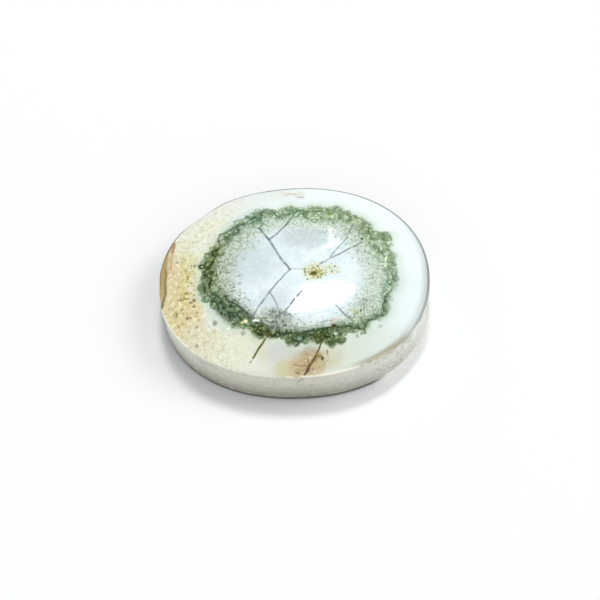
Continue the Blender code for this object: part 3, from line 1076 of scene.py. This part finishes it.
    def ridge(self):
        """Bands along the ridge: a tan facet and an olive band, painted shade as a grey band and a dark
        outline, and a broken painted highlight line.
        """
        n = self.n
        broken = n.step(n.noise(self.place, 1.6, 2.0), 0.34, 0.5)
        inside = n.size(self.edge["Inside"])
        for name, (width, tint, readings) in RIDGE_BANDS.items():
            strength = n.curve(self.edge["Turn"], edge_curve(readings))
            share = n.times(strength, n.step(inside, width, width * 0.3))
            # The painted ridge highlight is broken up along its length.
            if name == "painted ridge highlight":
                share = n.times(share, broken)
            self.lay(share, tint)

    def wall(self):
        """The ground wall: cream grey and scuffed, with painted shade darker towards the base and at the
        front, painted light at the right, a painted contact shadow along the front foot and a painted
        highlight along the right foot.
        """
        n = self.n
        # Painted light and shade round the wall: lighter at the right, darker at the front.
        wall_light = n.curve(self.edge["Turn"], edge_curve(WALL_PAINTED_LIGHT))
        # Painted shade: the wall grows darker towards the base.
        rise = n.step(self.height, -0.2, 4.0)
        low = n.mix(wall_light, (112, 108, 90), (206, 207, 192))
        high = n.mix(wall_light, (202, 200, 186), (234, 237, 228))
        polished = self.colour
        self.colour = n.mix(rise, low, high)
        self.mottle(0.16, (136, 130, 110), (236, 234, 222))
        scuffs = n.noise(n.vector("MULTIPLY", self.place, (0.7, 0.7, 1.2)), 1.8, 4.0, 0.7)
        self.lay(n.step(scuffs, 0.54, 0.66, 0.55), high)
        self.lay(n.step(scuffs, 0.44, 0.32, 0.45), low)
        self.strokes(WALL_MARKS, 1.0, self.place, on_wall)
        scratch = n.noise(n.vector("MULTIPLY", self.place, (0.42, 0.42, 1.1)), 1.1, 2.0, 0.5)
        scratch = n.size(n.minus(scratch, 0.5))
        side = n.step(wall_light, 0.35, 0.6, 0.95)
        self.lay(n.times(n.step(scratch, 0.055, 0.022), side), (146, 146, 130))
        self.lay(n.times(n.step(scratch, 0.022, 0.006), side), (250, 250, 242))
        # Painted contact shadow along the foot at the front, turning into a painted highlight along it at
        # the right.
        foot = n.mix(n.step(wall_light, 0.4, 0.65), (34, 26, 0), (246, 246, 236))
        self.lay(n.step(self.height, 0.72, 0.38), foot)
        self.colour = n.mix(n.times(self.upright, 0.92), polished, self.colour)

    def underside(self):
        """The flat base: sawn and matt, with the markings dulled."""
        n = self.n
        below = n.step(self.facing, -0.8, -0.95)
        self.lay(n.times(below, 0.6), (206, 208, 200))


def stone_material():
    """Milky chalcedony with its moss, cracks and iron stains, polished on top and ground on the wall."""
    material = bpy.data.materials.new("moss agate")
    material.use_nodes = True
    tree = material.node_tree
    paint = StonePaint(tree)
    n = paint.n
    paint.body()
    paint.wash()
    paint.specks()
    paint.lumps(scale=1.5, offset=(0.0, 0.0, 0.0), density=0.55, lift=0.1)
    paint.lumps(scale=2.5, offset=(5.2, 2.3, 0.0), density=0.42, lift=0.05)
    paint.filaments(scale=1.5, offset=(6.2, 0.7, 0.0), width=0.06, strength=0.55)
    paint.ring_thread(offset=(1.3, 4.1, 0.0), depth=0.4, width=0.13, strength=0.85)
    paint.ring_thread(offset=(7.7, 2.9, 0.0), depth=0.85, width=0.11, strength=0.75)
    paint.spots()
    paint.strokes(THREADS, paint.worn, paint.smudged)
    paint.iron_specks()
    paint.yellow_heart()
    cracks = paint.strokes(CRACKS, paint.worn)
    paint.strokes(VEINS, paint.upper)
    # Painted highlight streaks.
    paint.strokes(PAINTED_HIGHLIGHTS, paint.worn)
    paint.patches(DOTS, paint.smudged, 1.45, 0.45)
    paint.ridge()
    paint.wall()
    paint.underside()
    rough = n.plus(n.times(cracks, 0.5), n.times(paint.unpolished, 0.3))
    shader = tree.nodes["Principled BSDF"]
    n.feed(shader.inputs["Base Color"], paint.colour)
    n.feed(shader.inputs["Roughness"], n.plus(0.07, rough))
    shader.inputs["IOR"].default_value = 1.54
    shader.inputs["Subsurface Weight"].default_value = 0.06
    shader.inputs["Subsurface Radius"].default_value = (1.0, 0.95, 0.85)
    shader.inputs["Subsurface Scale"].default_value = 0.6 * MM
    return material


stone = make_stone()
stone.data.materials.append(stone_material())
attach(stone, "root")
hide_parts("cabochon")

add_floor()
add_camera()
add_world()
add_panel("key panel", KEY_CORNERS, KEY_RADIANCE)
add_panel("window sill", SILL_CORNERS, BAR_RADIANCE)
add_panel("window post", POST_CORNERS, BAR_RADIANCE)
add_side_lamp()
bpy.context.scene.view_settings.view_transform = "Standard"
